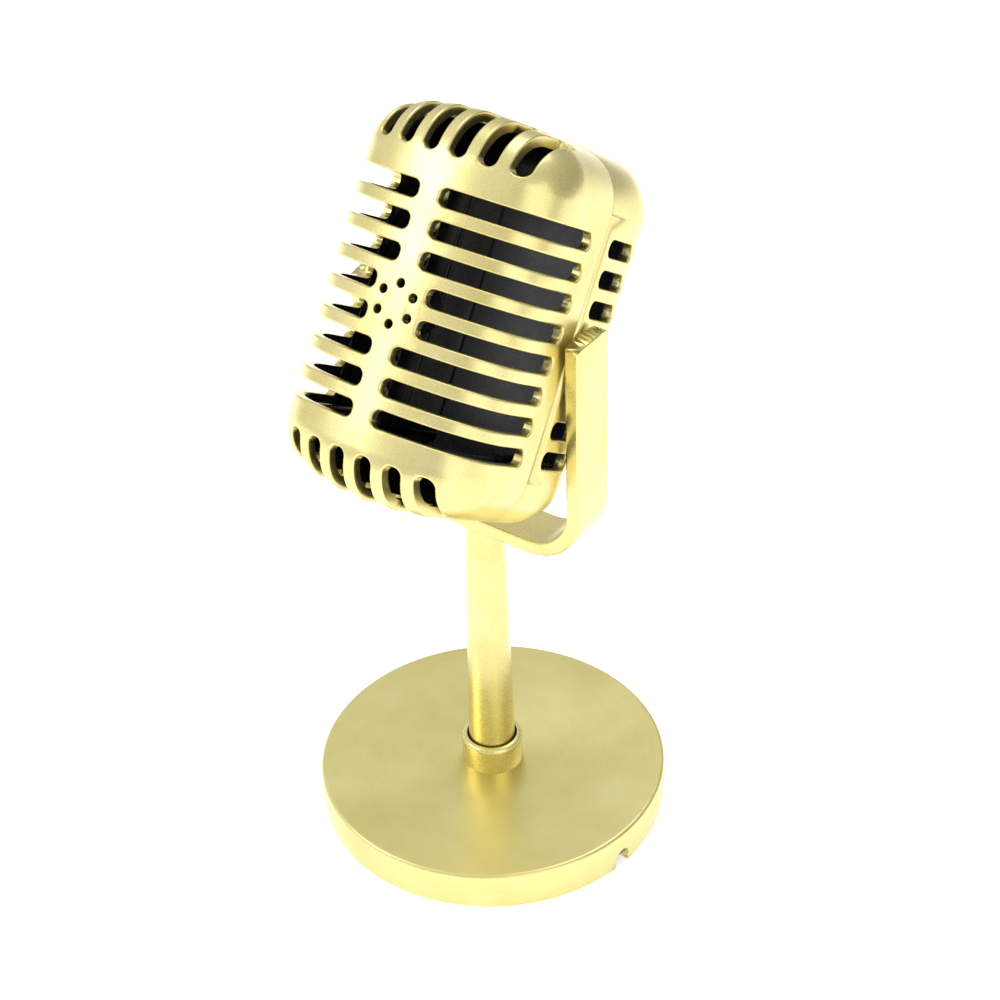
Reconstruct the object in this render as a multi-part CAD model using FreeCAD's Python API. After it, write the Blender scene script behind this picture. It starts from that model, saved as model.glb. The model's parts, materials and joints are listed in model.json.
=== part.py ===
import FreeCAD, Part
import math
import os

# A desk microphone: a slotted head of two shells hangs in a U-shaped yoke. The yoke's pole turns
# in a collar on a round, weighted base.
#
# Millimetres. The origin is the middle of the face that the rubber feet stand on. +Z is up,
# the head looks towards -Y, and the cable notch is on the +X side.

# ---- Base -------------------------------------------------------------------------------------
base_radius = 52.0
base_height = 12.3            # rim's underside to the top face
base_top_wall = 2.4
base_side_wall = 2.4
base_edge_round = 1.2         # top edge of the rim
base_tuck = 0.5               # how far the rim draws in at its underside
notch_width = 5.4             # arched cable notch in the rim, on the +X side
notch_height = 6.2
notch_turn = -8.0             # where the notch and its channel point, round from +X
cover_thickness = 1.5
cover_recess = 0.4            # the cover sits this far inside the rim
cover_gap = 0.3               # between the cover's edge and the rim's inner wall
foot_height = 1.0
foot_radius = 5.0
foot_inset = 10.8             # cover's edge to the middle of a foot
foot_count = 4

# ---- Ballast and its screws -------------------------------------------------------------------
ballast_thickness = 4.0
ballast_gap = 4.0             # between the ballast's edge and the cover's pillars
ballast_inner = 14.0
ballast_slot = 8.0            # width of the cable channel through the ballast
ballast_screw_count = 3
cover_screw_inset = 5.1       # rim's inner wall to the middle of a cover screw
cover_screw_count = 4
pillar_radius = 3.0
pillar_clearance = 0.2
small_screw_radius = 1.4      # shank of the tapping screws in the base
small_screw_head = 3.0
small_head_height = 1.6
small_screw_bite = 3.2        # how far a shank reaches into its pillar

# ---- Collar, hub and pole foot ----------------------------------------------------------------
collar_wall = 2.2
collar_height = 9.2
collar_round = 1.5
collar_mouth = 0.55           # radial gap round the pole at the collar's top
collar_mouth_depth = 2.5
spigot_wall = 1.25
spigot_length = 3.2
hub_wall = 2.8
hub_floor = 2.0
running_gap = 0.05            # radial clearance of a shaft that turns in a hole
thrust_gap = 0.2              # axial gap between faces that slide past each other
pole_foot_radius = 6.9
pole_step = 1.5               # plain strap left in front of and behind the pole's top
pole_fillet = 0.9
wire_bore = 2.6               # bore up the pole for the capsule's wires
tube_radius = 4.0             # hollow threaded tube that holds the pole down
tube_grip = 12.0              # how far the tube reaches into the pole
tube_tail = 0.3               # how far the tube stands out below the nut
washer_rim = 3.0              # how far the washer stands out round the tube
washer_thickness = 0.7
spring_thickness = 0.5
nut_wall = 2.0                # thinnest wall of the nut, at the middle of a flat
nut_height = 2.6

# ---- Yoke -------------------------------------------------------------------------------------
swing_gap = 6.3               # between the strap and the head's rear corner as it swings past
strap_thickness = 4.2
strap_depth = 14.4            # front to back
strap_bend = 13.6             # inner radius of the two bends
arm_rise = 13.6               # arm ends above the tilt axis
arm_crown = 1.3               # rise of the arched arm ends
strap_edge = 0.7              # rounding of the long edges
pivot_height = 159.7
arm_gap = 0.9                 # between an arm and the head's flank
boss_radius = 5.6
boss_height = 0.35

# ---- Head -------------------------------------------------------------------------------------
# Head sizes are taken in the head's own frame: x across, v from front to back, w upwards,
# all from the tilt axis. The head leans back by head_tilt.
head_tilt = 33.6
head_half_width = 31.6
front_reach = 44.5            # tilt axis to the middle of the front
back_reach = 24.7             # tilt axis to the middle of the back
head_top = 57.9
head_bottom = 45.5
front_bow = 57.0              # radius of the bowed front, seen from above
back_bow = 100.0              # radius of the back, seen from above
corner_round = 18.8           # upright corners
cap_step = 4.4                # top and bottom edges are rounded this much less
cap_crown = 103.0             # radius of the domed top and bottom, seen from the front
shell_wall = 2.8
split_offset = 8.4            # the seam lies this far in front of the tilt axis
seam_gap = 0.2
lip_depth = 2.0
lip_thickness = 1.1
lip_clearance = 0.1

# ---- Slots ------------------------------------------------------------------------------------
slot_pitch = 8.18
slot_width = 4.7
slot_corner = 2.0
slot_edge = 0.6               # easing of the slots' outer edges
row_count = 8
cap_slot_count = 6            # slots over the top, and again round the bottom
ring_height = 5.6             # middle of the six-hole ring, above the tilt axis
spine_half = 3.1              # half width of the plain strip between the slots
disc_half = 7.7               # the same beside the ring of holes
disc_rows = (3, 4)
slot_to_seam = 6.0            # plain flank left between a slot and the seam
cap_slot_to_seam = 12.1       # the same on the slots over the top and round the bottom
top_band = 8.0                # plain band between the rows and the slots over the top
bottom_band = 7.7
ring_hole_count = 6
ring_radius = 5.3
ring_hole_radius = 1.2
ring_hole_edge = 0.3
side_slot_start = -4.0        # short slots in the rear shell's flanks, along v
side_slot_run = 1.5           # straight edge past the start of the rear corner, before a slot ends
pivot_slot_start = 4.6        # the ones level with the tilt axis begin behind its boss
pivot_rows = (3, 4, 5)

# ---- Head fasteners ---------------------------------------------------------------------------
shell_screw_inset = 11.0      # flank to the middle of a screw
shell_boss_radius = 3.2
shell_tube_wall = 1.3         # wall of the rear shell's screw tubes
shell_screw_radius = 1.4
shell_screw_head = 2.7
shell_head_height = 1.8
shell_screw_seat = 4.0        # where the heads bear, behind the tilt axis
shell_screw_bite = 10.0
shell_hole_gap = 0.3
pivot_screw_radius = 2.0
pivot_screw_head = 3.6
pivot_head_height = 1.8
pivot_skin = 0.9              # material left between the blind hole and the arm's outer face
pivot_boss_radius = 4.0       # thickened flank round the pivot hole
pivot_boss_height = 1.2
pad_thickness = 0.35

# ---- Capsule ----------------------------------------------------------------------------------
can_radius = 4.85
can_length = 6.5
cup_inner = 6.6               # round wall behind the ring of holes
cup_wall = 0.9
cup_depth = 7.5
chamber_depth = 2.4           # air space between the front wall and the boot
can_proud = 0.8               # how far the can stands out of its boot
boot_back = 1.0
cloth_thickness = 0.4
cloth_radius = 4.2
board_thickness = 0.8
board_radius = 4.3

# ---- Sizes worked out from the ones above -----------------------------------------------------
cover_bottom = foot_height
rim_bottom = foot_height - cover_recess
base_top = rim_bottom + base_height
ceiling = base_top - base_top_wall
cover_top = cover_bottom + cover_thickness
rim_inner = base_radius - base_side_wall
cover_radius = rim_inner - base_tuck - cover_gap
cover_screw_circle = rim_inner - base_tuck - cover_screw_inset
foot_circle = cover_radius - foot_inset
ballast_outer = cover_screw_circle - pillar_radius - ballast_gap
ballast_screw_circle = (ballast_outer + ballast_inner) / 2
collar_top = base_top + collar_height
collar_radius = pole_foot_radius + collar_wall
spigot_radius = pole_foot_radius + running_gap + spigot_wall
pole_top_radius = strap_depth / 2 - pole_step
washer_radius = tube_radius + washer_rim
nut_flats = 2 * (tube_radius + nut_wall)
hub_top_of_floor = base_top - spigot_length - thrust_gap
hub_bottom = hub_top_of_floor - hub_floor
foot_bottom = hub_top_of_floor + thrust_gap
washer_top = hub_bottom - thrust_gap
spring_top = washer_top - washer_thickness
nut_top = spring_top - spring_thickness
nut_bottom = nut_top - nut_height
tube_bottom = nut_bottom - tube_tail
tube_top = foot_bottom + tube_grip
ballast_bottom = ceiling - ballast_thickness
cap_round = corner_round - cap_step
swing_radius = math.hypot(back_reach - cap_round, head_bottom - cap_round) + cap_round
strap_underside = pivot_height - swing_radius - swing_gap - strap_thickness
arm_top = pivot_height + arm_rise
arm_inner = head_half_width + arm_gap
arm_outer = arm_inner + strap_thickness
split_v = -split_offset
front_slot_end = split_v - slot_to_seam
side_slot_end = back_reach - corner_round + side_slot_run + slot_corner
cap_slot_end = split_v - cap_slot_to_seam
first_row = ring_height + (row_count - 1) / 2.0 * slot_pitch
rows_top = first_row + slot_width / 2
rows_bottom = first_row - (row_count - 1) * slot_pitch - slot_width / 2
top_slot_start = rows_top + top_band
bottom_slot_start = -(rows_bottom - bottom_band)
shell_screw_x = head_half_width - shell_screw_inset
shell_screw_high = rows_top + top_band / 2
shell_screw_low = rows_bottom - bottom_band / 2
front_inner = -front_reach + shell_wall
boot_front = front_inner + chamber_depth
can_front = boot_front - can_proud
can_back = can_front + can_length
boot_end = can_back + board_thickness + boot_back
pivot_hole_end = arm_outer - pivot_skin
pivot_seat = head_half_width - shell_wall - pivot_boss_height
far = 200.0                   # longer than anything in the object, for cutting
touching = 0.01               # closer than this counts as lying on a surface

X = FreeCAD.Vector(1, 0, 0)
Y = FreeCAD.Vector(0, 1, 0)
Z = FreeCAD.Vector(0, 0, 1)
ORIGIN = FreeCAD.Vector(0, 0, 0)


def vec(x, y, z):
    return FreeCAD.Vector(x, y, z)


def rod(radius, start, length, axis=Z):
    """A cylinder from start along axis."""
    return Part.makeCylinder(radius, length, start, axis)


def ring(outer, inner, start, length, axis=Z):
    """A tube: a rod with a bore right through it."""
    return rod(outer, start, length, axis).cut(rod(inner, start, length, axis))


def box(x0, x1, y0, y1, z0, z1):
    return Part.makeBox(x1 - x0, y1 - y0, z1 - z0, vec(x0, y0, z0))


def around(count, radius, first_angle=0.0):
    """Evenly spaced points (x, y) on a circle round the origin."""
    points = []
    for i in range(count):
        angle = math.radians(first_angle) + 2 * math.pi * i / count
        points.append((radius * math.cos(angle), radius * math.sin(angle)))
    return points


def round_bar(u0, u1, p0, p1, radius, place, reach):
    """A bar whose section is the rectangle u0..u1 by p0..p1 with rounded corners.

    place(u, p) turns section coordinates into a point and reach is the vector it is pushed along.
    """
    c = radius * (1 - math.sqrt(0.5))
    r = radius
    edges = [
        Part.makeLine(place(u0 + r, p0), place(u1 - r, p0)),
        Part.Arc(place(u1 - r, p0), place(u1 - c, p0 + c), place(u1, p0 + r)).toShape(),
        Part.makeLine(place(u1, p0 + r), place(u1, p1 - r)),
        Part.Arc(place(u1, p1 - r), place(u1 - c, p1 - c), place(u1 - r, p1)).toShape(),
        Part.makeLine(place(u1 - r, p1), place(u0 + r, p1)),
        Part.Arc(place(u0 + r, p1), place(u0 + c, p1 - c), place(u0, p1 - r)).toShape(),
        Part.makeLine(place(u0, p1 - r), place(u0, p0 + r)),
        Part.Arc(place(u0, p0 + r), place(u0 + c, p0 + c), place(u0 + r, p0)).toShape(),
    ]
    return Part.Face(Part.Wire(edges)).extrude(reach)


def revolve(points):
    """Turn an outline of (radius, height) points round the Z axis. Three-point runs are arcs."""
    edges = []
    last = points[0]
    for item in points[1:]:
        if len(item) == 4:
            middle = vec(item[0], 0, item[1])
            end = (item[2], item[3])
            edges.append(Part.Arc(vec(last[0], 0, last[1]), middle, vec(end[0], 0, end[1])).toShape())
        else:
            end = item
            edges.append(Part.makeLine(vec(last[0], 0, last[1]), vec(end[0], 0, end[1])))
        last = end
    edges.append(Part.makeLine(vec(last[0], 0, last[1]), vec(points[0][0], 0, points[0][1])))
    return Part.Face(Part.Wire(edges)).revolve(ORIGIN, Z, 360)


def arc_point(cx, cz, radius, degrees):
    angle = math.radians(degrees)
    return cx + radius * math.cos(angle), cz + radius * math.sin(angle)


def lean(shape):
    """Move a shape from the head's own frame to its place in the yoke."""
    placed = shape.copy()
    placed.rotate(ORIGIN, X, -head_tilt)
    placed.translate(vec(0, 0, pivot_height))
    return placed


def tapping_screw(radius, head_radius, head_height, length, seat, axis):
    """A pan-head screw. Its head bears at seat and its shank runs along axis."""
    back = vec(seat.x - axis.x * head_height, seat.y - axis.y * head_height, seat.z - axis.z * head_height)
    head = rod(head_radius, back, head_height, axis)
    outer_rim = [e for e in head.Edges if (e.CenterOfMass - back).Length < head_height / 4]
    head = head.makeFillet(head_height / 2.5, outer_rim)
    drive = Part.makeBox(head_radius, head_height / 4, head_height / 2)
    drive.translate(vec(-head_radius / 2, -head_height / 8, 0))
    cross = drive.copy()
    cross.rotate(ORIGIN, Z, 90)
    recess = drive.fuse(cross)
    recess.Placement = FreeCAD.Placement(back, FreeCAD.Rotation(Z, axis)).multiply(recess.Placement)
    return head.fuse(rod(radius, seat, length, axis)).cut(recess)


# ---- Base -------------------------------------------------------------------------------------
def base_outside():
    side_top = base_top - base_edge_round
    shoulder = base_radius - base_tuck / 4
    corner = arc_point(shoulder - base_edge_round, side_top, base_edge_round, 45)
    side_middle = (side_top + rim_bottom) / 2
    return revolve([
        (0, rim_bottom),
        (base_radius - base_tuck, rim_bottom),
        (base_radius, side_middle, shoulder, side_top),
        (corner[0], corner[1], shoulder - base_edge_round, base_top),
        (0, base_top),
    ])


def base_shell():
    inside = rod(rim_inner - base_tuck, vec(0, 0, 0), ceiling)
    shell = base_outside().cut(inside)
    hub = rod(spigot_radius + hub_wall, vec(0, 0, hub_bottom), base_top - hub_bottom)
    shell = shell.fuse(hub.common(base_outside()))
    for x, y in around(cover_screw_count, cover_screw_circle, 45):
        shell = shell.fuse(rod(pillar_radius, vec(x, y, cover_top), ceiling - cover_top))
    for x, y in around(ballast_screw_count, ballast_screw_circle, 60):
        shell = shell.fuse(rod(pillar_radius, vec(x, y, ballast_bottom), ballast_thickness))
    shell = shell.cut(rod(spigot_radius, vec(0, 0, hub_top_of_floor), far))
    shell = shell.cut(rod(tube_radius + running_gap, vec(0, 0, 0), far))
    for x, y in around(cover_screw_count, cover_screw_circle, 45):
        shell = shell.cut(rod(small_screw_radius, vec(x, y, cover_top), small_screw_bite))
    for x, y in around(ballast_screw_count, ballast_screw_circle, 60):
        shell = shell.cut(rod(small_screw_radius, vec(x, y, ballast_bottom), small_screw_bite))
    return shell.cut(cable_notch()).removeSplitter()


def cable_notch():
    half = notch_width / 2
    notch_top = rim_bottom + notch_height
    start = base_radius - base_side_wall * 2
    upright = box(start, far, -half, half, 0, notch_top - half)
    arch = rod(half, vec(start, 0, notch_top - half), far, X)
    notch = upright.fuse(arch)
    notch.rotate(ORIGIN, Z, notch_turn)
    return notch


def ballast():
    disc = ring(ballast_outer, ballast_inner, vec(0, 0, ballast_bottom), ballast_thickness)
    for x, y in around(ballast_screw_count, ballast_screw_circle, 60):
        disc = disc.cut(rod(pillar_radius + pillar_clearance, vec(x, y, 0), far))
    half = ballast_slot / 2
    channel = box(0, far, -half, half, 0, far)
    channel.rotate(ORIGIN, Z, notch_turn)
    return disc.cut(channel)


def ballast_screws():
    screws = []
    for x, y in around(ballast_screw_count, ballast_screw_circle, 60):
        seat = vec(x, y, ballast_bottom)
        screws.append(tapping_screw(small_screw_radius, small_screw_head + 1, small_head_height,
                                    small_screw_bite, seat, Z))
    return Part.makeCompound(screws)


def bottom_cover():
    cover = rod(cover_radius, vec(0, 0, cover_bottom), cover_thickness)
    for x, y in around(cover_screw_count, cover_screw_circle, 45):
        cover = cover.cut(rod(small_screw_radius + pillar_clearance, vec(x, y, 0), far))
        cover = cover.cut(rod(small_screw_head + pillar_clearance, vec(x, y, 0),
                              cover_bottom + cover_thickness / 2))
    return cover


def cover_screws():
    screws = []
    bite = small_screw_bite + cover_thickness / 2
    for x, y in around(cover_screw_count, cover_screw_circle, 45):
        seat = vec(x, y, cover_bottom + cover_thickness / 2)
        screws.append(tapping_screw(small_screw_radius, small_screw_head, cover_thickness / 2 + cover_recess / 2,
                                    bite, seat, Z))
    return Part.makeCompound(screws)


def foot_pads():
    pads = []
    for x, y in around(foot_count, foot_circle):
        pad = rod(foot_radius, vec(x, y, 0), foot_height)
        lower_edge = [e for e in pad.Edges if e.CenterOfMass.z < foot_height / 4]
        pads.append(pad.makeFillet(foot_height / 3, lower_edge))
    return Part.makeCompound(pads)


# ---- Collar and what holds the pole ----------------------------------------------------------
def collar():
    bore = pole_foot_radius + running_gap
    mouth = pole_foot_radius + collar_mouth
    corner = arc_point(collar_radius - collar_round, collar_top - collar_round, collar_round, 45)
    lip_middle = (mouth + collar_radius - collar_round) / 2
    return revolve([
        (bore, base_top - spigot_length),
        (spigot_radius, base_top - spigot_length),
        (spigot_radius, base_top),
        (collar_radius, base_top),
        (collar_radius, collar_top - collar_round),
        (corner[0], corner[1], collar_radius - collar_round, collar_top),
        (lip_middle, collar_top),
        (mouth, collar_top - collar_mouth),
        (mouth, collar_top - collar_mouth_depth),
        (bore, collar_top - collar_mouth_depth - collar_mouth),
    ])


def stem_tube():
    length = tube_top - tube_bottom
    tube = ring(tube_radius, wire_bore, vec(0, 0, tube_bottom), length)
    ends = [e for e in tube.Edges if abs(e.BoundBox.XLength - 2 * tube_radius) < 0.01]
    return tube.makeChamfer(0.3, [e for e in ends if e.BoundBox.ZLength < 0.01])


def stem_nut():
    corner = nut_flats / 2 / math.cos(math.pi / 6)
    points = []
    for x, y in around(6, corner):
        points.append(vec(x, y, nut_bottom))
    points.append(points[0])
    prism = Part.Face(Part.makePolygon(points)).extrude(vec(0, 0, nut_height))
    drop = corner - nut_flats / 2
    cone = Part.makeCone(nut_flats / 2 + drop * 3.5, nut_flats / 2, nut_height + 0.01,
                         vec(0, 0, nut_top + 0.01), vec(0, 0, -1))
    return prism.common(cone).cut(rod(tube_radius, vec(0, 0, 0), far))


# ---- Yoke -------------------------------------------------------------------------------------
def strap():
    """The U: two arms, two bends and the cross piece, as one bar bent flat-ways."""
    def outline(half, bottom, bend):
        left_c = -half + bend
        right_c = half - bend
        middle = bottom + bend
        low = arc_point(left_c, middle, bend, 225)
        high = arc_point(right_c, middle, bend, 315)
        return [
            Part.makeLine(vec(-half, 0, arm_top), vec(-half, 0, middle)),
            Part.Arc(vec(-half, 0, middle), vec(low[0], 0, low[1]), vec(left_c, 0, bottom)).toShape(),
            Part.makeLine(vec(left_c, 0, bottom), vec(right_c, 0, bottom)),
            Part.Arc(vec(right_c, 0, bottom), vec(high[0], 0, high[1]), vec(half, 0, middle)).toShape(),
            Part.makeLine(vec(half, 0, middle), vec(half, 0, arm_top)),
        ]

    outer = outline(arm_outer, strap_underside, strap_bend + strap_thickness)
    inner = outline(arm_inner, strap_underside + strap_thickness, strap_bend)
    tops = [
        Part.makeLine(vec(-arm_outer, 0, arm_top), vec(-arm_inner, 0, arm_top)),
        Part.makeLine(vec(arm_outer, 0, arm_top), vec(arm_inner, 0, arm_top)),
    ]
    edges = Part.__sortEdges__(outer + inner + tops)
    bar = Part.Face(Part.Wire(edges)).extrude(vec(0, strap_depth, 0))
    bar.translate(vec(0, -strap_depth / 2, 0))
    crown_radius = (strap_depth ** 2 / 4 + arm_crown ** 2) / (2 * arm_crown)
    keep = rod(crown_radius, vec(-far / 2, 0, arm_top - crown_radius), far, X)
    low = arm_top - crown_radius
    bar = bar.common(keep.fuse(box(-far / 2, far / 2, -strap_depth, strap_depth, 0, low)))
    long_edges = [e for e in bar.Edges if e.BoundBox.YLength < 0.01 and abs(abs(e.CenterOfMass.y)
                  - strap_depth / 2) < 0.01]
    return bar.makeFillet(strap_edge, long_edges)


def pole():
    """A tapered pole with a straight foot that turns in the collar."""
    body = rod(pole_foot_radius, vec(0, 0, foot_bottom), collar_top - foot_bottom)
    height = strap_underside - collar_top
    return body.fuse(Part.makeCone(pole_foot_radius, pole_top_radius, height, vec(0, 0, collar_top)))


def yoke():
    frame = strap().fuse(pole())
    joint = [e for e in frame.Edges if abs(e.CenterOfMass.z - strap_underside) < 0.01
             and abs(e.BoundBox.XLength - 2 * pole_top_radius) < 0.01]
    frame = frame.makeFillet(pole_fillet, joint)
    for side in (-1, 1):
        face = side * arm_inner
        inward = vec(-side, 0, 0)
        frame = frame.fuse(rod(boss_radius, vec(face, 0, pivot_height), boss_height, inward))
        hole_start = vec(side * pivot_hole_end, 0, pivot_height)
        frame = frame.cut(rod(pivot_screw_radius, hole_start, pivot_hole_end - head_half_width, inward))
    frame = frame.cut(rod(wire_bore, vec(0, 0, 0), strap_underside + far / 2))
    return frame.cut(rod(tube_radius, vec(0, 0, 0), tube_top)).removeSplitter()


def pivot_screw(side):
    outward = vec(side, 0, 0)
    seat_x = pivot_seat - spring_thickness - thrust_gap
    seat = vec(side * seat_x, 0, 0)
    length = pivot_hole_end - seat_x
    return lean(tapping_screw(pivot_screw_radius, pivot_screw_head, pivot_head_height, length, seat, outward))


def spring_washer(side):
    outward = vec(side, 0, 0)
    start = vec(side * (pivot_seat - spring_thickness - thrust_gap), 0, 0)
    return lean(ring(pivot_screw_head, pivot_screw_radius, start, spring_thickness, outward))


def pivot_pad(side):
    outward = vec(side, 0, 0)
    start = vec(side * (arm_inner - boss_height - pad_thickness), 0, 0)
    return lean(ring(boss_radius, pivot_screw_radius, start, pad_thickness, outward))


# ---- Head shells ------------------------------------------------------------------------------
def head_block(inset):
    """The head's rounded block with its domed ends, drawn in by inset all round."""
    round_corner = corner_round - inset
    half_c = head_half_width - corner_round
    front_c = -front_reach + front_bow
    back_c = back_reach - back_bow
    front_v = front_c - math.sqrt((front_bow - corner_round) ** 2 - half_c ** 2)
    back_v = back_c + math.sqrt((back_bow - corner_round) ** 2 - half_c ** 2)
    bottom = -head_bottom + inset
    height = head_top + head_bottom - 2 * inset

    def bow(centre, radius, corner_v, way):
        """Tangent points and middle of a bowed face, as (x, v)."""
        angle = math.atan2(half_c, abs(centre - corner_v))
        reach = radius - inset
        touch = (reach * math.sin(angle), centre + way * reach * math.cos(angle))
        half_angle = (angle + math.pi / 2) / 2
        bend = (half_c + round_corner * math.sin(half_angle), corner_v + way * round_corner * math.cos(half_angle))
        return touch, bend, (0, centre + way * reach)

    front_touch, front_bend, front_mid = bow(front_c, front_bow, front_v, -1)
    back_touch, back_bend, back_mid = bow(back_c, back_bow, back_v, 1)
    side = head_half_width - inset

    def at(point, mirror=1):
        return vec(mirror * point[0], point[1], bottom)

    edges = [
        Part.Arc(at(front_touch, -1), at(front_mid), at(front_touch)).toShape(),
        Part.Arc(at(front_touch), at(front_bend), vec(side, front_v, bottom)).toShape(),
        Part.makeLine(vec(side, front_v, bottom), vec(side, back_v, bottom)),
        Part.Arc(vec(side, back_v, bottom), at(back_bend), at(back_touch)).toShape(),
        Part.Arc(at(back_touch), at(back_mid), at(back_touch, -1)).toShape(),
        Part.Arc(at(back_touch, -1), at(back_bend, -1), vec(-side, back_v, bottom)).toShape(),
        Part.makeLine(vec(-side, back_v, bottom), vec(-side, front_v, bottom)),
        Part.Arc(vec(-side, front_v, bottom), at(front_bend, -1), at(front_touch, -1)).toShape(),
    ]
    block = Part.Face(Part.Wire(edges)).extrude(vec(0, 0, height))
    for end, way in ((head_top, 1), (-head_bottom, -1)):
        block = block.common(rod(cap_crown - inset, vec(0, -far, end - way * cap_crown), 2 * far, Y))
    caps = [e for e in block.Edges if e.BoundBox.ZLength < cap_round]
    return block.makeFillet(cap_round - inset, caps)


def row_height(row):
    return first_row - row * slot_pitch


def front_slot(row, side):
    """One slot: it starts beside the spine, turns the corner and stops short of the seam."""
    w = row_height(row)
    low = w - slot_width / 2
    high = w + slot_width / 2
    start = disc_half if row in disc_rows else spine_half
    across = round_bar(start, far, low, high, slot_corner,
                       lambda u, p: vec(side * u, -far, p), vec(0, far + front_slot_end, 0))
    along = round_bar(-far, front_slot_end, low, high, slot_corner,
                      lambda u, p: vec(0, u, p), vec(side * far, 0, 0))
    return across.common(along)


def cap_slot(index, start, way):
    """One slot over the top (way 1) or round the bottom (way -1)."""
    x = (index - (cap_slot_count - 1) / 2.0) * slot_pitch
    left = x - slot_width / 2
    right = x + slot_width / 2
    upright = round_bar(left, right, start, far, slot_corner,
                        lambda u, p: vec(u, -far, way * p), vec(0, far + cap_slot_end, 0))
    level = round_bar(left, right, -far, cap_slot_end, slot_corner,
                      lambda u, p: vec(u, p, 0), vec(0, 0, way * far))
    return upright.common(level)


def ring_holes():
    holes = []
    for i in range(ring_hole_count):
        angle = math.pi / 2 + 2 * math.pi * i / ring_hole_count
        x = ring_radius * math.cos(angle)
        w = ring_height + ring_radius * math.sin(angle)
        holes.append(rod(ring_hole_radius, vec(x, -far, w), far + front_inner + 1, Y))
    return holes


def screw_places():
    places = []
    for w in (shell_screw_high, shell_screw_low):
        for side in (-1, 1):
            places.append((side * shell_screw_x, w))
    return places


def cut_and_ease(shell, cuts, radius, seam):
    """Cut openings through the shell and round the edges that they leave in its outer skin."""
    skin = head_block(0).Shells[0]
    walls = [cut.Shells[0] for cut in cuts]
    shell = shell.cut(cuts)
    eased = []
    for edge in shell.Edges:
        middle = Part.Vertex(edge.valueAt((edge.FirstParameter + edge.LastParameter) / 2))
        if abs(middle.Y - seam) < touching or middle.distToShape(skin)[0] > touching:
            continue
        if min(middle.distToShape(wall)[0] for wall in walls) < touching:
            eased.append(edge)
    return shell.makeFillet(radius, eased)


def front_shell():
    seam = split_v - seam_gap
    shell = head_block(0).common(box(-far, far, -far, seam, -far, far))
    shell = shell.cut(head_block(shell_wall))
    slots = []
    for row in range(row_count):
        for side in (-1, 1):
            slots.append(front_slot(row, side))
    for index in range(cap_slot_count):
        slots.append(cap_slot(index, top_slot_start, 1))
        slots.append(cap_slot(index, bottom_slot_start, -1))
    shell = cut_and_ease(shell, slots, slot_edge, seam)
    shell = cut_and_ease(shell, ring_holes(), ring_hole_edge, seam)
    recess = head_block(shell_wall - lip_thickness - lip_clearance)
    recess = recess.common(box(-far, far, seam - lip_depth - lip_clearance, far, -far, far))
    shell = shell.cut(recess)
    body = head_block(shell_wall / 2)
    for x, w in screw_places():
        boss = rod(shell_boss_radius, vec(x, -far / 2, w), far / 2 + seam, Y).common(body)
        shell = shell.fuse(boss)
        pilot = vec(x, seam - shell_screw_bite - 1, w)
        shell = shell.cut(rod(shell_screw_radius, pilot, shell_screw_bite + 2, Y))
    cup_start = vec(0, front_inner - shell_wall / 2, ring_height)
    cup_length = cup_depth + shell_wall / 2
    cup = ring(cup_inner + cup_wall, cup_inner, cup_start, cup_length, Y)
    return lean(shell.fuse(cup))


def side_slot(row, side):
    w = row_height(row)
    start = pivot_slot_start if row in pivot_rows else side_slot_start
    return round_bar(start, side_slot_end, w - slot_width / 2, w + slot_width / 2, slot_corner,
                     lambda u, p: vec(0, u, p), vec(side * far, 0, 0))


def rear_shell():
    shell = head_block(0).common(box(-far, far, split_v, far, -far, far))
    shell = shell.cut(head_block(shell_wall))
    slots = []
    for row in range(row_count):
        for side in (-1, 1):
            slots.append(side_slot(row, side))
    shell = cut_and_ease(shell, slots, slot_edge, split_v)
    lip = head_block(shell_wall - lip_thickness).cut(head_block(shell_wall))
    lip = lip.common(box(-far, far, split_v - lip_depth, split_v + shell_wall, -far, far))
    shell = shell.fuse(lip)
    body = head_block(shell_wall / 2)
    tube_outer = shell_screw_head + shell_hole_gap + shell_tube_wall
    cuts = []
    for x, w in screw_places():
        tube = rod(tube_outer, vec(x, split_v, w), far, Y).common(body)
        shell = shell.fuse(tube)
        cuts.append(rod(shell_screw_radius + shell_hole_gap, vec(x, split_v - 1, w), far, Y))
        cuts.append(rod(shell_screw_head + shell_hole_gap, vec(x, shell_screw_seat, w), far, Y))
        cuts.append(rod(shell_boss_radius + lip_clearance, vec(x, split_v - lip_depth - 1, w),
                        lip_depth + 1 - seam_gap / 2, Y))
    for side in (-1, 1):
        inner_face = vec(side * pivot_seat, 0, 0)
        outward = vec(side, 0, 0)
        shell = shell.fuse(rod(pivot_boss_radius, inner_face, pivot_boss_height + shell_wall / 2, outward))
        cuts.append(rod(pivot_screw_radius + running_gap, ORIGIN, far, outward))
    return lean(shell.cut(cuts))


def shell_screws():
    screws = []
    length = shell_screw_seat - split_v + shell_screw_bite
    for x, w in screw_places():
        seat = vec(x, shell_screw_seat, w)
        screws.append(tapping_screw(shell_screw_radius, shell_screw_head, shell_head_height,
                                    length, seat, vec(0, -1, 0)))
    return lean(Part.makeCompound(screws))


# ---- Capsule ----------------------------------------------------------------------------------
def capsule_can():
    can = rod(can_radius, vec(0, can_front, ring_height), can_length, Y)
    front_edge = [e for e in can.Edges if abs(e.CenterOfMass.y - can_front) < 0.01]
    can = can.makeFillet(0.4, front_edge)
    return lean(can.cut(rod(cloth_radius, vec(0, can_front, ring_height), cloth_thickness, Y)))


def dust_cloth():
    return lean(rod(cloth_radius, vec(0, can_front, ring_height), cloth_thickness, Y))


def capsule_board():
    return lean(rod(board_radius, vec(0, can_back, ring_height), board_thickness, Y))


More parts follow.
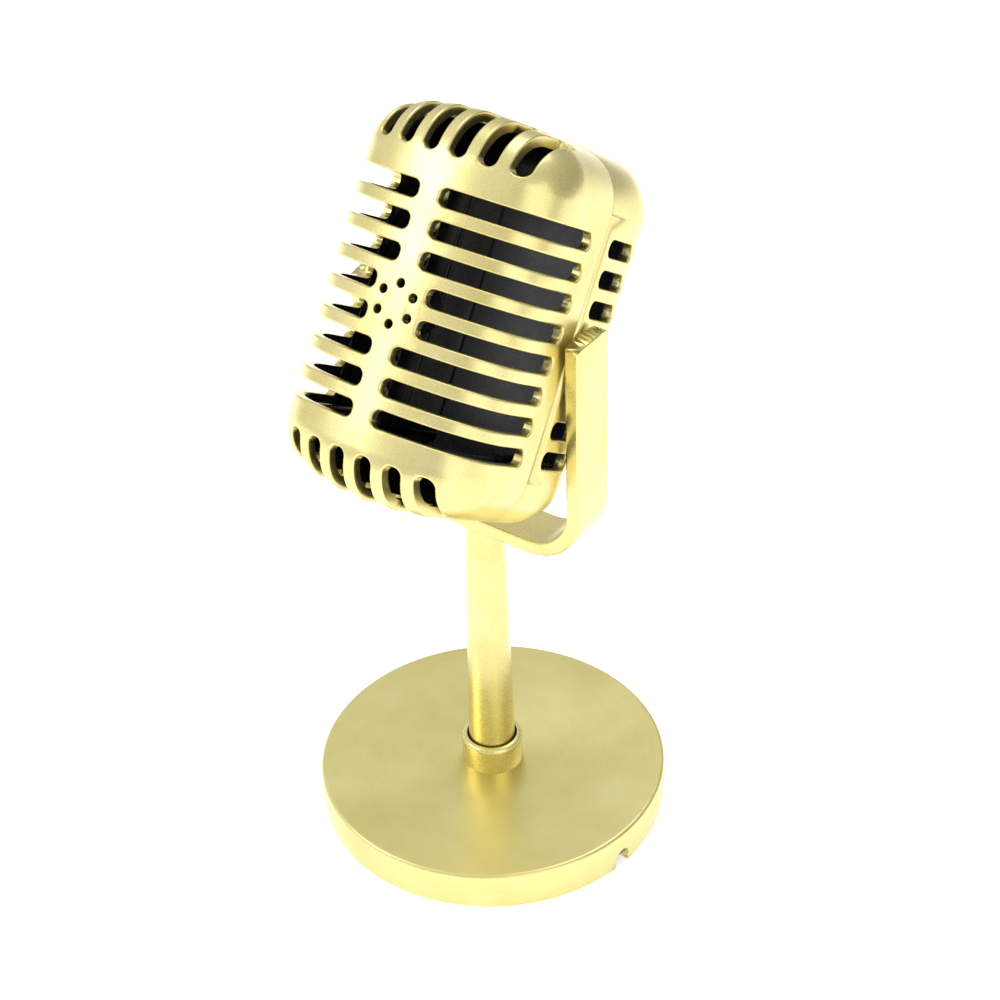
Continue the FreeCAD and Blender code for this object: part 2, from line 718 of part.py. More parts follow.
def capsule_boot():
    start = vec(0, boot_front, ring_height)
    boot = rod(cup_inner, start, boot_end - boot_front, Y)
    boot = boot.cut(rod(can_radius, start, can_back - boot_front, Y))
    boot = boot.cut(rod(board_radius, vec(0, can_back, ring_height), board_thickness, Y))
    return lean(boot.cut(rod(can_radius / 3, vec(0, can_back, ring_height), far, Y)))


def all_parts():
    return {
        "base_shell": base_shell(),
        "ballast": ballast(),
        "ballast_screws": ballast_screws(),
        "bottom_cover": bottom_cover(),
        "cover_screws": cover_screws(),
        "foot_pads": foot_pads(),
        "collar": collar(),
        "stem_tube": stem_tube(),
        "stem_washer": ring(washer_radius, tube_radius, vec(0, 0, spring_top), washer_thickness),
        "stem_spring": ring(washer_radius - 0.5, tube_radius, vec(0, 0, nut_top), spring_thickness),
        "stem_nut": stem_nut(),
        "yoke": yoke(),
        "pivot_screw_left": pivot_screw(-1),
        "pivot_screw_right": pivot_screw(1),
        "spring_washer_left": spring_washer(-1),
        "spring_washer_right": spring_washer(1),
        "pivot_pad_left": pivot_pad(-1),
        "pivot_pad_right": pivot_pad(1),
        "front_shell": front_shell(),
        "rear_shell": rear_shell(),
        "shell_screws": shell_screws(),
        "capsule_can": capsule_can(),
        "dust_cloth": dust_cloth(),
        "capsule_board": capsule_board(),
        "capsule_boot": capsule_boot(),
    }


os.makedirs("parts", exist_ok=True)
for name, shape in all_parts().items():
    shape.exportStep("parts/" + name + ".step")
    size = shape.BoundBox
    print(name, shape.isValid(), len(shape.Solids), round(shape.Volume / 1000, 2), "cm3",
          [round(v, 1) for v in (size.XMin, size.XMax, size.YMin, size.YMax, size.ZMin, size.ZMax)])
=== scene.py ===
# %% [markdown]
# # A retro desk microphone in satin gold
#
# The frame holds every part of the microphone at its real size: two head shells, yoke, collar, base
# and the small things inside them. Nothing is moved here. Each part gets the finish of the real
# thing, the wave springs and the cover's screws, which the CAD draws plainly, are drawn again as
# surfaces, and a camera and soft light show the result.

# %% Load the frame
import json
import math

import bpy
import bmesh
import numpy as np
from mathutils import Matrix, Vector


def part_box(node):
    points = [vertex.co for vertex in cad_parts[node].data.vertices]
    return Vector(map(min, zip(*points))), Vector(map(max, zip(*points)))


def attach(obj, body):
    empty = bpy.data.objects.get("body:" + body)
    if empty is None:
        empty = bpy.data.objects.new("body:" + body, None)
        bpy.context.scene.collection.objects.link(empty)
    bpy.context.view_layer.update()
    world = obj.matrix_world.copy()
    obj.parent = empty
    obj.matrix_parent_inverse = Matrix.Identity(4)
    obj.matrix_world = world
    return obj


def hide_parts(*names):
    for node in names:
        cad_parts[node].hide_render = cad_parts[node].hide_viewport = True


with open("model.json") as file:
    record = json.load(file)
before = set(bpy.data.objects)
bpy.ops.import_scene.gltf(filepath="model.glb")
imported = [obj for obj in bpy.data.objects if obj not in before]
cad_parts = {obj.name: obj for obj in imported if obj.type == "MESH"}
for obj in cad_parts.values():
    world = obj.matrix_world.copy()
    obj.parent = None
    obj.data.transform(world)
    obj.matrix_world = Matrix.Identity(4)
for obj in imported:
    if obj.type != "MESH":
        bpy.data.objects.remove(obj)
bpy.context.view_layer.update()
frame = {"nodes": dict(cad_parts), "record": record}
nodes = frame["nodes"]
scene = bpy.context.scene
MM = 0.001

# %% [markdown]
# ## Camera
#
# The microphone is seen from its right, from well above, with a lens long enough to keep the base
# round. A camera is a point, a direction and a lens, so it is written as exactly that: two angles
# round the microphone, a distance, and the small roll of a camera held by hand.

# %% Camera
CAMERA_AZIMUTH = 36.28
CAMERA_ELEVATION = 35.99
CAMERA_ROLL = -1.81
CAMERA_DISTANCE = 647.6 * MM
CAMERA_TARGET = Vector((0.55, 7.01, 103.87)) * MM
LENS_MM = 82.8
SENSOR_MM = 36.0


def add_camera():
    """Stand CAMERA_DISTANCE from the target along the direction that the two angles give."""
    azimuth = math.radians(CAMERA_AZIMUTH)
    elevation = math.radians(CAMERA_ELEVATION)
    flat = math.cos(elevation)
    away = Vector((math.sin(azimuth) * flat, -math.cos(azimuth) * flat, math.sin(elevation)))
    right = Vector((0, 0, 1)).cross(away).normalized()
    up = away.cross(right)
    turn = Matrix.Rotation(math.radians(CAMERA_ROLL), 3, "Z")
    axes = Matrix((right, up, away)).transposed() @ turn
    data = bpy.data.cameras.new("camera")
    data.lens = LENS_MM
    data.sensor_width = SENSOR_MM
    camera = bpy.data.objects.new("camera", data)
    camera.matrix_world = Matrix.Translation(CAMERA_TARGET + away * CAMERA_DISTANCE) @ axes.to_4x4()
    scene.collection.objects.link(camera)
    scene.camera = camera
    return camera


camera = add_camera()
print("camera:", [round(v, 3) for v in camera.matrix_world.translation])

# %% [markdown]
# ## How a finish is written
#
# A colour is written the way a paint chart gives it, as an sRGB hex value, and one function turns
# it to the linear numbers that light is worked out in. One more function adds a node, sets it and
# links it, so that each finish below reads as a short list of what lies on what.

# %% Colour and node helpers
def linear(hex_colour):
    """Undo the sRGB curve: a straight foot below 0.04045 and a power of 2.4 above it."""
    values = np.array([int(hex_colour[i:i + 2], 16) for i in (1, 3, 5)]) / 255
    values = np.where(values <= 0.04045, values / 12.92, ((values + 0.055) / 1.055) ** 2.4)
    return (*(float(v) for v in values), 1.0)


def add(tree, kind, settings=None, links=None):
    """Add a node, set its options and its sockets by name or number, and link outputs to it."""
    node = tree.nodes.new(kind)
    for name, value in (settings or {}).items():
        if isinstance(name, str) and hasattr(node, name):
            setattr(node, name, value)
        else:
            node.inputs[name].default_value = value
    for name, output in (links or {}).items():
        tree.links.new(output, node.inputs[name])
    return node


def new_material(name, settings):
    """A material with one Principled shader, its plain values set on the shader's own sockets."""
    material = bpy.data.materials.new(name)
    material.use_nodes = True
    shader = material.node_tree.nodes["Principled BSDF"]
    for socket, value in settings.items():
        shader.inputs[socket].default_value = value
    return material, material.node_tree, shader


PER_MM = 1 / MM
print("gold in linear light:", [round(v, 3) for v in linear("#E0D08C")[:3]])

# %% [markdown]
# ## Champagne-gold spray paint
#
# Head, yoke and pole are moulded black ABS, sprayed with a gold paint full of tiny aluminium
# flakes. Three things show that it is paint and not metal: a fine sparkle where flakes lie at
# different angles, a broad unevenness where the coat is a little thicker, and an orange-peel skin
# that blurs reflections. Each is a noise of its own real size. The flakes are about 0.05 mm; they
# are drawn at 0.3 mm, as coarse as they need to be to show.

# %% Gold paint
FLAKE_MM = 0.3
COAT_MM = 14.0
PEEL_MM = 1.3
PEEL_HEIGHT_MM = 0.012
PEEL_STRENGTH = 0.25
COAT_SHARE = 0.45
PAINT_METALLIC = 0.94
DEEP_BELOW, BRIGHT_ABOVE = 0.3, 0.66
SMOOTHER, ROUGHER = -0.05, 0.07


def gold_paint(name, roughness, bright="#EEE3A6", deep="#D8C978"):
    """Flakes and coat thickness mix two golds, and the orange peel is a very low bump."""
    material, tree, shader = new_material(
        name, {"Metallic": PAINT_METALLIC, "Coat Weight": 0.35, "Coat Roughness": 0.22})
    place = add(tree, "ShaderNodeTexCoord").outputs["Object"]
    flake = add(tree, "ShaderNodeTexNoise", {"Scale": PER_MM / FLAKE_MM, "Detail": 1.0},
                {"Vector": place})
    coat = add(tree, "ShaderNodeTexNoise", {"Scale": PER_MM / COAT_MM, "Detail": 2.0},
               {"Vector": place})
    peel = add(tree, "ShaderNodeTexNoise", {"Scale": PER_MM / PEEL_MM, "Detail": 1.5},
               {"Vector": place})
    both = add(tree, "ShaderNodeMix", {"data_type": "FLOAT", "Factor": COAT_SHARE},
               {"A": flake.outputs["Fac"], "B": coat.outputs["Fac"]})
    colour = add(tree, "ShaderNodeValToRGB", None, {"Fac": both.outputs["Result"]})
    low, high = colour.color_ramp.elements
    low.position, low.color = DEEP_BELOW, linear(deep)
    high.position, high.color = BRIGHT_ABOVE, linear(bright)
    rough = add(tree, "ShaderNodeMapRange",
                {"To Min": roughness + SMOOTHER, "To Max": roughness + ROUGHER},
                {"Value": flake.outputs["Fac"]})
    skin = add(tree, "ShaderNodeBump",
               {"Strength": PEEL_STRENGTH, "Distance": PEEL_HEIGHT_MM * MM},
               {"Height": peel.outputs["Fac"]})
    tree.links.new(colour.outputs["Color"], shader.inputs["Base Color"])
    tree.links.new(rough.outputs["Result"], shader.inputs["Roughness"])
    tree.links.new(skin.outputs["Normal"], shader.inputs["Normal"])
    return material


head_gold = gold_paint("sprayed_gold_head", 0.29)
stand_gold = gold_paint("sprayed_gold_stand", 0.27)
print("gold paint:", head_gold.name, stand_gold.name)

# %% [markdown]
# ## The base's brushed top
#
# The base has the same gold, but over fine rings left by turning its mould. Rings round the middle
# stretch every highlight across them, which is what draws the fan of light on the disc. The rings
# are a noise read along the radius only, and the shader is told that its grain runs round Z.

# %% Brushed gold
RING_MM = 0.35
RING_HEIGHT_MM = 0.006
RING_STRENGTH = 0.1
CLOUD_MM = 22.0
CLOUD_SHARE = 0.75
SWEEP_MM = 2.0
RING_DEEP_BELOW, RING_BRIGHT_ABOVE = 0.3, 0.7
RING_SMOOTH, RING_ROUGH = 0.28, 0.36


def brushed_gold(name):
    """Noise over the distance from the axis gives rings; SWEEP_MM a radian breaks them up."""
    material, tree, shader = new_material(
        name, {"Metallic": PAINT_METALLIC, "Anisotropic": 0.4, "Coat Weight": 0.3, "Coat Roughness": 0.25})
    place = add(tree, "ShaderNodeTexCoord").outputs["Object"]
    parts = add(tree, "ShaderNodeSeparateXYZ", None, {"Vector": place})
    flat = add(tree, "ShaderNodeCombineXYZ", None,
               {"X": parts.outputs["X"], "Y": parts.outputs["Y"]})
    radius = add(tree, "ShaderNodeVectorMath", {"operation": "LENGTH"}, {"Vector": flat.outputs[0]})
    angle = add(tree, "ShaderNodeMath", {"operation": "ARCTAN2"},
                {0: parts.outputs["Y"], 1: parts.outputs["X"]})
    along = add(tree, "ShaderNodeMath", {"operation": "MULTIPLY", 1: SWEEP_MM * MM},
                {0: angle.outputs[0]})
    rings_at = add(tree, "ShaderNodeCombineXYZ", None,
                   {"X": radius.outputs["Value"], "Y": along.outputs[0], "Z": parts.outputs["Z"]})
    rings = add(tree, "ShaderNodeTexNoise", {"Scale": PER_MM / RING_MM, "Detail": 3.0},
                {"Vector": rings_at.outputs[0]})
    cloud = add(tree, "ShaderNodeTexNoise", {"Scale": PER_MM / CLOUD_MM, "Detail": 2.0},
                {"Vector": place})
    both = add(tree, "ShaderNodeMix", {"data_type": "FLOAT", "Factor": CLOUD_SHARE},
               {"A": rings.outputs["Fac"], "B": cloud.outputs["Fac"]})
    colour = add(tree, "ShaderNodeValToRGB", None, {"Fac": both.outputs["Result"]})
    low, high = colour.color_ramp.elements
    low.position, low.color = RING_DEEP_BELOW, linear("#D9CC80")
    high.position, high.color = RING_BRIGHT_ABOVE, linear("#EAE09E")
    rough = add(tree, "ShaderNodeMapRange", {"To Min": RING_SMOOTH, "To Max": RING_ROUGH},
                {"Value": rings.outputs["Fac"]})
    tangent = add(tree, "ShaderNodeTangent", {"direction_type": "RADIAL", "axis": "Z"})
    grooves = add(tree, "ShaderNodeBump", {"Strength": RING_STRENGTH, "Distance": RING_HEIGHT_MM * MM},
                  {"Height": rings.outputs["Fac"]})
    tree.links.new(colour.outputs["Color"], shader.inputs["Base Color"])
    tree.links.new(rough.outputs["Result"], shader.inputs["Roughness"])
    tree.links.new(tangent.outputs["Tangent"], shader.inputs["Tangent"])
    tree.links.new(grooves.outputs["Normal"], shader.inputs["Normal"])
    return material


base_gold = brushed_gold("brushed_gold_base")
print("rings every", RING_MM, "mm")

# %% [markdown]
# ## The plainer finishes
#
# Everything else is one material with one texture: two colours mixed by a noise of the texture's
# real size, a roughness that follows it, and a bump of its real height. Stretching the noise turns
# grain into drawn or turned lines. So one function makes them all, and each call says what is real.

# %% Moulded, plated, turned and pressed finishes
DARK_BELOW, LIGHT_ABOVE = 0.35, 0.65
ROUGH_SPREAD = 0.06
GRAIN_STRENGTH = 0.4


def finish(name, light, dark, metallic, roughness, grain_mm, height_mm, stretch=(1, 1, 1)):
    """Noise of grain_mm mixes dark and light, moves the roughness a little and lifts the skin."""
    material, tree, shader = new_material(name, {"Metallic": metallic})
    place = add(tree, "ShaderNodeTexCoord").outputs["Object"]
    sized = add(tree, "ShaderNodeMapping", {"Scale": tuple(s * PER_MM / grain_mm for s in stretch)},
                {"Vector": place})
    grain = add(tree, "ShaderNodeTexNoise", {"Scale": 1.0, "Detail": 3.0},
                {"Vector": sized.outputs["Vector"]})
    colour = add(tree, "ShaderNodeValToRGB", None, {"Fac": grain.outputs["Fac"]})
    low, high = colour.color_ramp.elements
    low.position, low.color = DARK_BELOW, linear(dark)
    high.position, high.color = LIGHT_ABOVE, linear(light)
    rough = add(tree, "ShaderNodeMapRange",
                {"To Min": roughness - ROUGH_SPREAD, "To Max": roughness + ROUGH_SPREAD},
                {"Value": grain.outputs["Fac"]})
    skin = add(tree, "ShaderNodeBump", {"Strength": GRAIN_STRENGTH, "Distance": height_mm * MM},
               {"Height": grain.outputs["Fac"]})
    tree.links.new(colour.outputs["Color"], shader.inputs["Base Color"])
    tree.links.new(rough.outputs["Result"], shader.inputs["Roughness"])
    tree.links.new(skin.outputs["Normal"], shader.inputs["Normal"])
    return material


# The unpainted inside of the shells: black ABS straight from a polished mould, so it mirrors a little.
bare_abs = finish("bare_black_abs", "#101114", "#08080A", 0.0, 0.28, 3.0, 0.01)
# The bottom cover: the same ABS from a spark-eroded mould, an even matt grain.
grained_abs = finish("grained_black_abs", "#1B1B1D", "#101012", 0.0, 0.55, 0.4, 0.04)
# Compression-moulded rubber takes up light, with a dusty grey bloom.
rubber = finish("moulded_rubber", "#222222", "#151515", 0.0, 0.8, 0.5, 0.03)
# Zinc plate is bright and faintly blue, with a crystal mottle.
zinc = finish("zinc_plated_steel", "#D7DADF", "#B4B9C2", 1.0, 0.28, 0.8, 0.004)
# Tempered spring steel is rolled, so its lines run one way, and it has a straw tint.
spring = finish("tempered_spring_steel", "#9A938A", "#6E6A66", 1.0, 0.34, 0.5, 0.004, (1, 8, 1))
# Punched plate keeps its blue-grey mill scale under a film of oil.
mill_steel = finish("oiled_mill_steel", "#55575C", "#2D2E32", 0.9, 0.42, 5.0, 0.02)
# Brass turned on a lathe has rings across its axis.
brass = finish("turned_brass", "#DDBB6A", "#BE9A4A", 1.0, 0.26, 0.3, 0.006, (1, 1, 6))
# The capsule's can is deep-drawn aluminium, nearly white, with lines along the draw.
drawn_can = finish("drawn_aluminium", "#E4E5E8", "#C6C8CD", 1.0, 0.25, 0.4, 0.004, (4, 1, 1))
# Pressed wool felt: soft tufts, no gloss at all.
felt = finish("pressed_felt", "#1A1A1C", "#060606", 0.0, 0.95, 0.35, 0.12)
# Solder mask over copper: green, glossy, mottled where copper lies under it.
mask_green = finish("green_solder_mask", "#1F6B3C", "#12492A", 0.0, 0.3, 1.2, 0.01)
# Natural nylon is milky.
nylon = finish("natural_nylon", "#E9E6DB", "#D8D4C6", 0.0, 0.45, 1.0, 0.01)
print("finishes:", len(bpy.data.materials))

# %% [markdown]
# ## Which finish is on which part
#
# A CAD part keeps its mesh and only its material changes. The five painted parts are named here
# too, because the copies that stand for them below take their material along.

# %% Finishes on parts
FINISHES = {
    "yoke": stand_gold, "collar": stand_gold, "base_shell": base_gold,
    "front_shell": head_gold, "rear_shell": head_gold,
    "bottom_cover": grained_abs, "foot_pads": rubber, "capsule_boot": rubber,
    "shell_screws": zinc, "cover_screws": zinc, "ballast_screws": zinc, "stem_washer": zinc,
    "pivot_screw_left": zinc, "pivot_screw_right": zinc,
    "spring_washer_left": spring, "spring_washer_right": spring, "stem_spring": spring,
    "ballast": mill_steel, "stem_tube": brass, "stem_nut": brass,
    "capsule_can": drawn_can, "dust_cloth": felt, "capsule_board": mask_green,
    "pivot_pad_left": nylon, "pivot_pad_right": nylon,
}
for name, material in FINISHES.items():
    nodes[name].data.materials.clear()
    nodes[name].data.materials.append(material)
print("parts without a finish:", sorted(set(nodes) - set(FINISHES)))

# %% [markdown]
# ## Skins that catch the light smoothly
#
# The CAD parts come as loose triangles, and a loose triangle is shaded flat, so a rounded edge
# would show facets. Each painted part is therefore copied, its doubled points are merged, and the
# copy is shaded smooth except across edges sharper than 32 degrees. A weighted-normal modifier
# keeps the big flat faces flat beside their small roundings.

# %% Smooth copies of the painted parts
SHARP_DEGREES = 32
MERGE_MM = 0.001
PAINTED = ("front_shell", "rear_shell", "yoke", "collar", "base_shell")


def smooth_copy(node, body):
    """Copy a part's mesh, merge points nearer than a micron and shade it smooth between edges."""
    piece = bpy.data.objects.new(node + "_skin", nodes[node].data.copy())
    mesh = piece.data
    soup = bmesh.new()
    soup.from_mesh(mesh)
    bmesh.ops.remove_doubles(soup, verts=soup.verts, dist=MERGE_MM * MM)
    soup.to_mesh(mesh)
    soup.free()
    mesh.shade_smooth()
    mesh.set_sharp_from_angle(angle=math.radians(SHARP_DEGREES))
    scene.collection.objects.link(piece)
    even = piece.modifiers.new("even", "WEIGHTED_NORMAL")
    even.keep_sharp = True
    even.mode = "FACE_AREA_WITH_ANGLE"
    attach(piece, body)
    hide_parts(node)
    return piece


body_of = {node: body for body, names in frame["record"]["behaviour"]["bodies"].items()
           for node in names}
skins = {node: smooth_copy(node, body_of[node]) for node in PAINTED}
for node, piece in skins.items():
    print(piece.name, len(piece.data.polygons), "faces")

# %% [markdown]
# ## Gold outside, black inside
#
# The spray only reaches the outside of the shells and the walls of the slots; the inside stays
# bare black ABS, and that black behind the gold bars is what makes the grille read. A face is
# inside if it lies a wall's thickness below the outer skin. The outer skin, without its slots, is
# simply the convex hull of both shells, so a face's depth is its distance below the hull's planes.
# The rear shell's lip, which shows through the seam as a thin dark line, is bare too.

# %% Depth below the outer skin
INSIDE_MM = 2.35
LIP_MM = 1.2
SLACK_MM = 0.15
CELL_MM = 0.3
PAST_SEAM_MM = 0.05
HEAD_TILT = 33.6
SEAM_OFFSET = 8.4 * MM
SAMPLE_STEP = 7
PLANES_AT_ONCE = 500
FACES_AT_ONCE = 2000
joints = {joint["name"]: joint for joint in frame["record"]["behaviour"]["joints"]}
pivot_height = joints["head_tilt"]["pos_m"][2]


def vertex_places(mesh):
    places = np.empty(len(mesh.vertices) * 3)
    mesh.vertices.foreach_get("co", places)
    return places.reshape(-1, 3)


def hull_planes(points):
    """The hull's faces as planes: an outward normal and how far along it the plane lies.

    A sliver's normal can be wrong, so a plane that leaves points outside it is dropped.
    """
    cloud = bpy.data.meshes.new("hull")
    cells = np.unique(np.round(points / (CELL_MM * MM)).astype(int), axis=0, return_index=True)[1]
    cloud.from_pydata(points[cells], [], [])
    hull = bmesh.new()
    hull.from_mesh(cloud)
    bmesh.ops.convex_hull(hull, input=hull.verts)
    hull.to_mesh(cloud)
    hull.free()
    normals = np.empty(len(cloud.polygons) * 3)
    centres = np.empty(len(cloud.polygons) * 3)
    cloud.polygons.foreach_get("normal", normals)
    cloud.polygons.foreach_get("center", centres)
    normals = normals.reshape(-1, 3)
    offsets = np.einsum("ij,ij->i", normals, centres.reshape(-1, 3))
    bpy.data.meshes.remove(cloud)
    way = np.sign(offsets - normals @ points.mean(0))
    normals, offsets = normals * way[:, None], offsets * way
    sample = points[cells[::SAMPLE_STEP]]
    groups = np.array_split(np.arange(len(offsets)), max(1, len(offsets) // PLANES_AT_ONCE))
    outside = np.concatenate([(normals[group] @ sample.T).max(1) - offsets[group] for group in groups])
    real = outside < SLACK_MM * MM
    return normals[real], offsets[real]


def face_centres(mesh):
    centres = np.empty(len(mesh.polygons) * 3)
    mesh.polygons.foreach_get("center", centres)
    return centres.reshape(-1, 3)


def depth_below(centres, planes):
    """The least distance below any of the hull's planes, worked out a block of faces at a time."""
    normals, offsets = planes
    blocks = np.array_split(centres, max(1, len(centres) // FACES_AT_ONCE))
    return np.concatenate([(offsets[:, None] - normals @ block.T).min(0) for block in blocks])


def behind_seam(centres):
    """Distance behind the seam: the dot product with the head's own front-to-back direction."""
    tilt = math.radians(HEAD_TILT)
    across = centres - np.array([0, 0, pivot_height])
    return across @ np.array([0, math.cos(tilt), -math.sin(tilt)]) + SEAM_OFFSET


# %% Black inside
hull = hull_planes(np.vstack([vertex_places(skins[node].data) for node in ("front_shell", "rear_shell")]))
for node in ("front_shell", "rear_shell"):
    mesh = skins[node].data
    centres = face_centres(mesh)
    on_lip = (behind_seam(centres) < -PAST_SEAM_MM * MM) & (node == "rear_shell")
    bare = depth_below(centres, hull) > np.where(on_lip, LIP_MM, INSIDE_MM) * MM
    mesh.materials.append(bare_abs)
    mesh.polygons.foreach_set("material_index", bare.astype(np.int32))
    print(node, "black share of faces:", round(float(bare.mean()), 2))

# %% [markdown]
# ## Surfaces from two numbers
#
# A thread, a wave washer and a screw's head are each a formula in two numbers: how far round, and
# how far along. numpy works the whole grid out at once, and the grid becomes a closed skin when its
# last row joins its first, or when a fan closes its ends. One function turns such a grid to a mesh.

# %% A grid becomes a mesh
WELD_MM = 0.002


def grid_piece(name, grids, material, body, node, loop_rows=False):
    """Join neighbours of each (row, round) grid into quads; rows close in a ring if loop_rows."""
    points, faces, start = [], [], 0
    for grid in grids:
        rows, turns = grid.shape[:2]
        row = np.arange(rows if loop_rows else rows - 1)[:, None]
        turn = np.arange(turns)[None, :]
        after, beside = (row + 1) % rows, (turn + 1) % turns
        quads = np.stack([row * turns + turn, row * turns + beside,
                          after * turns + beside, after * turns + turn], -1)
        points.append(grid.reshape(-1, 3))
        faces.append(quads.reshape(-1, 4) + start)
        start += rows * turns
    mesh = bpy.data.meshes.new(name)
    mesh.from_pydata(np.vstack(points), [], np.vstack(faces))
    skin = bmesh.new()
    skin.from_mesh(mesh)
    bmesh.ops.remove_doubles(skin, verts=skin.verts, dist=WELD_MM * MM)
    bmesh.ops.recalc_face_normals(skin, faces=skin.faces)
    skin.to_mesh(mesh)
    skin.free()
    mesh.materials.append(material)
    mesh.shade_smooth()
    mesh.set_sharp_from_angle(angle=math.radians(SHARP_DEGREES))
    piece = bpy.data.objects.new(name, mesh)
    scene.collection.objects.link(piece)
    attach(piece, body)
    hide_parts(node)
    print(name, len(mesh.polygons), "faces")
    return piece


def turned(profile, turns, height=None):
    """Carry an (r, z) profile round Z; height(r, angle) is added to z where it is given."""
    angle = np.linspace(0, 2 * np.pi, turns, endpoint=False)[None, :]
    radius, z = profile[:, :1], profile[:, 1:] + np.zeros_like(angle)
    if height is not None:
        z = z + height(radius + 0 * angle, angle + 0 * radius)
    return np.stack([radius * np.cos(angle), radius * np.sin(angle), z], -1)


# %% [markdown]
# ## Wave springs
#
# The three spring washers are punched from strip and pressed into a wave, which is what makes them
# spring. The wave is a sine of three turns round the ring, added to a flat rectangular section. It
# is drawn inside the pressed-flat thickness that the frame leaves, so nothing is pushed apart.

# %% Wave washers
INNER_SHARE = 0.62
STRIP_SHARE = 0.55
CRESTS = 3
WASHER_TURNS = 72


def wave_washer(node, axis):
    """A rectangular section round an axis (0 is X, 2 is Z), lifted by a sine with CRESTS crests."""
    low, high = (np.array(corner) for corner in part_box(node))
    centre, size = (low + high) / 2, high - low
    outer = np.delete(size, axis).max() / 2
    inner = outer * INNER_SHARE
    thick = size[axis] * STRIP_SHARE
    section = np.array([[inner, -1], [outer, -1], [outer, 1], [inner, 1]]) * [1, thick / 2]
    wave = (size[axis] - thick) / 2
    grid = turned(section, WASHER_TURNS, lambda radius, angle: wave * np.sin(CRESTS * angle))
    order = {0: [2, 0, 1], 2: [0, 1, 2]}[axis]
    return grid[..., order] + centre


for node, axis in (("spring_washer_left", 0), ("spring_washer_right", 0), ("stem_spring", 2)):
    grid_piece(node + "_wave", [wave_washer(node, axis)], spring, body_of[node], node, True)

# %% [markdown]
# ## Cross-head screws
#
# The four screws in the bottom cover are tapping screws: a low domed head with a cross recess, and
# a coarse thread that cuts its own way into the plastic. The head is a height over radius and
# angle: a dome, less a pit wherever the point lies in one of the two bars of the cross. The thread
# is a radius over angle and height: a ridge that climbs a pitch a turn.

# %% Screw
PITCH_MM = 1.1
RIDGE_MM = 0.28
RIDGE_WIDTH = 0.22
TIP_MM = 1.6
BAR_MM = 0.55
PIT_REACH, PIT_SLOPE, PIT_DEPTH = 0.58, 0.12, 0.6
RIM_HEIGHT = 0.72
HEAD_TURNS = 144
SHANK_TURNS = 36
STEPS_A_PITCH = 14


def screw_grids(head_radius, head_height, shank_radius, length):
    """The head looks along -Z from z = 0, where it seats; the shank runs up to z = length."""
    reach = np.concatenate([np.linspace(0, 0.62, 26), np.linspace(0.66, 1.0, 10)]) * head_radius
    crown = np.sqrt(np.clip(1 - (reach / head_radius) ** 2, 0, 1))
    dome = head_height * (RIM_HEIGHT + (1 - RIM_HEIGHT) * crown)

    def pit(radius, angle):
        x, y = np.abs(radius * np.cos(angle)), np.abs(radius * np.sin(angle))
        in_bar = np.minimum(x, y) < BAR_MM * MM / 2
        slope = np.clip((PIT_REACH * head_radius - radius) / (PIT_SLOPE * head_radius), 0, 1)
        return np.where(in_bar, slope * head_height * PIT_DEPTH, 0.0)

    head = turned(np.stack([reach, -dome], -1), HEAD_TURNS, pit)
    rim = turned(np.array([[head_radius, -dome[-1]], [head_radius, 0.0],
                           [shank_radius, 0.0]]), HEAD_TURNS)
    z = np.linspace(0, length, int(length / (PITCH_MM * MM) * STEPS_A_PITCH))
    angle = np.linspace(0, 2 * np.pi, SHANK_TURNS, endpoint=False)[None, :]
    climb = (z[:, None] / (PITCH_MM * MM) - angle / (2 * np.pi)) % 1.0
    ridge = np.clip(1 - np.abs(climb - 0.5) / RIDGE_WIDTH, 0, 1) * RIDGE_MM * MM
    point = np.clip((length - z[:, None]) / (TIP_MM * MM), 0, 1)
    radius = (shank_radius - RIDGE_MM * MM + ridge) * point ** 0.5
    shank = np.stack([radius * np.cos(angle), radius * np.sin(angle), z[:, None] + 0 * angle], -1)
    return [head, rim, shank]


# %% Screws of the bottom cover
COVER_HEAD = 3.0 * MM
COVER_HEAD_HEIGHT = 1.6 * MM
SHANK = 1.4 * MM
low, high = (np.array(corner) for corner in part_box("cover_screws"))
reach_x, reach_y = high[0] - COVER_HEAD, high[1] - COVER_HEAD
seat_z = low[2] + COVER_HEAD_HEIGHT
screw = screw_grids(COVER_HEAD, COVER_HEAD_HEIGHT, SHANK, high[2] - seat_z)
seats = [(x, y, seat_z) for x in (-reach_x, reach_x) for y in (-reach_y, reach_y)]
grid_piece("cover_cross_screws", [grid + np.array(seat) for seat in seats for grid in screw],
           zinc, "base", "cover_screws")

# %% [markdown]
# ## Floor and light
#
# A white table in a light tent: the floor glows a little, as paper lit from behind does, so almost
# no shadow is left. Satin metal shows whatever surrounds it, so the tent is not evenly bright: it
# is brighter above and to the left, and falls off to the right and behind, which models the form.

# %% Floor
FLOOR_SIZE = 6.0
PAPER_GLOW = 0.55


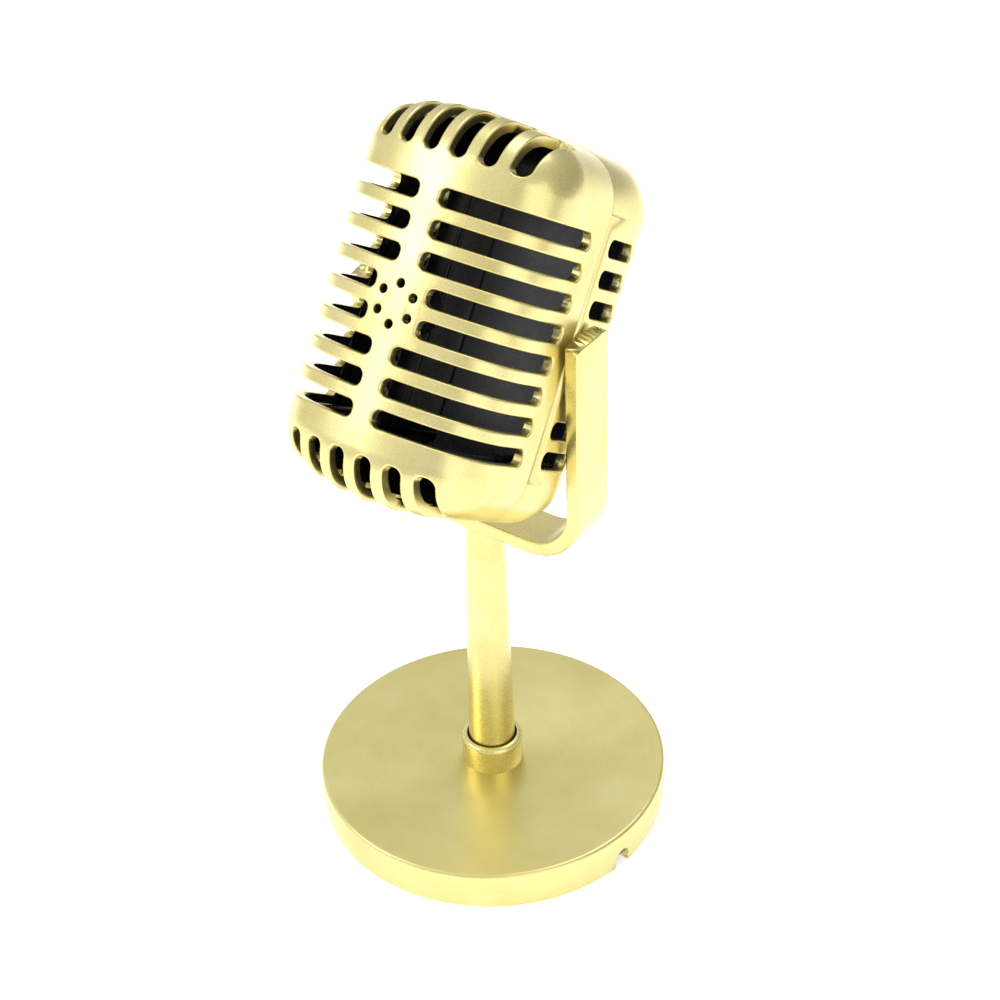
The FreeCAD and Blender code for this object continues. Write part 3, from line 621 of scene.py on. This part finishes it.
def add_floor():
    half = FLOOR_SIZE / 2
    mesh = bpy.data.meshes.new("floor")
    corners = [(-half, -half, 0), (half, -half, 0), (half, half, 0), (-half, half, 0)]
    mesh.from_pydata(corners, [], [(0, 1, 2, 3)])
    floor = bpy.data.objects.new("floor", mesh)
    paper = new_material("white_paper", {"Base Color": linear("#F6F6F4"), "Roughness": 0.9,
                                         "Emission Color": (1, 1, 1, 1), "Emission Strength": PAPER_GLOW})
    mesh.materials.append(paper[0])
    scene.collection.objects.link(floor)
    return floor


floor = add_floor()
print("floor:", FLOOR_SIZE, "m")

# %% Light tent
scene.view_settings.view_transform = "Standard"
BRIGHT_SIDE = (-0.45, -0.35, 0.82)
DIMMEST, BRIGHTEST = 0.34, 0.95
SOFTBOXES = {"key": ((-0.75, -0.85, 0.95), 0.7, 4.2),
             "fill": ((1.1, -0.5, 0.5), 0.9, 2.4),
             "top": ((0.1, 0.5, 1.3), 0.8, 3.0)}


def add_tent():
    """The tent's brightness follows the direction: up is bright, and so is the left side."""
    world = bpy.data.worlds.new("tent")
    scene.world = world
    world.use_nodes = True
    tree = world.node_tree
    way = add(tree, "ShaderNodeTexCoord").outputs["Generated"]
    lit = add(tree, "ShaderNodeVectorMath", {"operation": "DOT_PRODUCT", 1: BRIGHT_SIDE},
              {0: way})
    level = add(tree, "ShaderNodeMapRange",
                {"From Min": -0.6, "From Max": 1.0, "To Min": DIMMEST, "To Max": BRIGHTEST},
                {"Value": lit.outputs["Value"]})
    tree.links.new(level.outputs["Result"], tree.nodes["Background"].inputs["Strength"])
    tree.nodes["Background"].inputs["Color"].default_value = (1, 1, 1, 1)
    return world


def add_softbox(name, place, size, watts):
    """A square of light at place, facing the middle of the microphone."""
    data = bpy.data.lights.new(name, "AREA")
    data.shape = "SQUARE"
    data.size = size
    data.energy = watts
    light = bpy.data.objects.new(name, data)
    aim = CAMERA_TARGET - Vector(place)
    light.matrix_world = Matrix.Translation(place) @ aim.to_track_quat("-Z", "Y").to_matrix().to_4x4()
    scene.collection.objects.link(light)
    return light


add_tent()
softboxes = [add_softbox(name, *facts) for name, facts in SOFTBOXES.items()]
print("lights:", [light.name for light in softboxes])
